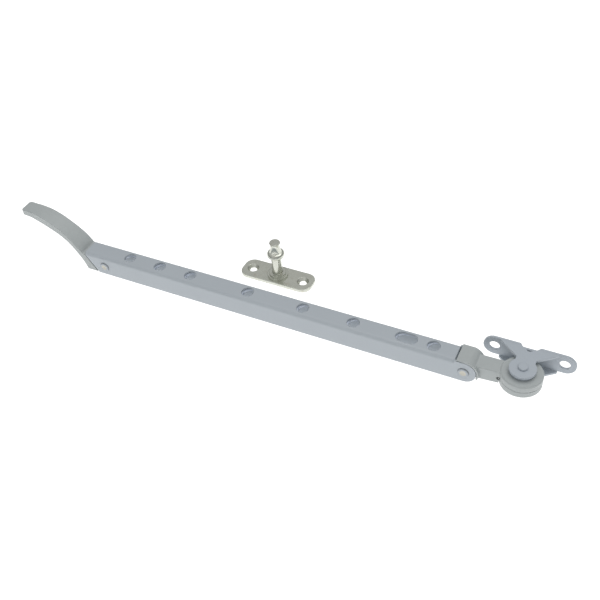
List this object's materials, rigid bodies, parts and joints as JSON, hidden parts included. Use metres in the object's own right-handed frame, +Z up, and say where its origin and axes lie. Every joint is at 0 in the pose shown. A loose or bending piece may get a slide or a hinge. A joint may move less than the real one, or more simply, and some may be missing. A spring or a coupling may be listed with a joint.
{
  "type": "casement window stay with peg plate",
  "caption": "Friction casement stay: perforated channel arm with a locking lever, swivel knuckle on a folded bracket, and a separate peg plate.",
  "frame": {"origin": "middle of the bracket's two screw holes, on the face that lies against the window", "axes": "+X along the arm towards the bracket, so the arm points to -X; +Y into the window, out of the mounting face; +Z up, square to the arm's web"},
  "size_m": [0.4158, 0.0614, 0.0412],
  "materials": {
    "grey_arm": "smooth satin light grey powder coat",
    "grey_cast": "satin light grey coat over a casting",
    "grey_bracket": "fine-grained light grey powder coat",
    "grey_washer": "light grey, satin",
    "grey_pin": "light grey coat over the riveted head",
    "nickel": "pale nickel-plated rivet, satin",
    "zinc": "zinc-plated sheet steel",
    "nylon": "natural nylon",
    "black_steel": "black oxide",
    "spring_steel": "bare spring steel",
    "lining": "dark friction lining",
    "plated_plate": "nickel-plated, polished, faintly warm",
    "plated_turned": "nickel-plated turned steel"
  },
  "bodies": {
    "bracket": {"sash_bracket": "grey_bracket", "swivel_pin": "grey_pin", "brake_disc": "zinc"},
    "knuckle": {"knuckle_body": "grey_cast", "barrel_cover": "grey_cast", "cover_screw": "black_steel", "brake_spring": "spring_steel", "brake_lining_upper": "lining", "brake_lining_lower": "lining", "thrust_washer_upper": "grey_washer", "thrust_washer_lower": "grey_washer"},
    "arm": {"arm_channel": "grey_arm", "hinge_rivet": "nickel", "hinge_washers": "nylon", "lever_rivet": "nickel", "lever_washers": "nylon", "bar_clip_1": "zinc", "bar_clip_2": "zinc", "bar_clip_3": "zinc", "bar_clip_4": "zinc"},
    "lever": {"lever_handle": "grey_cast"},
    "bar": {"locking_bar": "zinc"},
    "peg": {"peg_plate": "plated_plate", "peg_collar": "plated_turned", "peg_stud": "plated_turned"}
  },
  "joints": [
    {"name": "swivel", "type": "hinge", "parent": "bracket", "child": "knuckle", "pos_m": [0, -0.0204, 0], "axis": [0, 0, 1], "range_deg": [0, 180]},
    {"name": "arm_lift", "type": "hinge", "parent": "knuckle", "child": "arm", "pos_m": [-0.035, -0.0204, -0.0042], "axis": [0, 1, 0], "range_deg": [-75, 6]},
    {"name": "lever_turn", "type": "hinge", "parent": "arm", "child": "lever", "pos_m": [-0.3152, -0.0204, -0.005], "axis": [0, -1, 0], "range_deg": [0, 15.9]},
    {"name": "bar_slide", "type": "slide", "parent": "arm", "child": "bar", "axis": [1, 0, 0], "range_m": [-0.00168, 0]},
    {"name": "peg_place", "type": "slide", "parent": "bracket", "child": "peg", "axis": [0, 0, 1], "range_m": [0, 0.02]}
  ],
  "couplings": [
    {"joint": "bar_slide", "follows": "lever_turn", "m_per_rad": -0.00598}
  ]
}
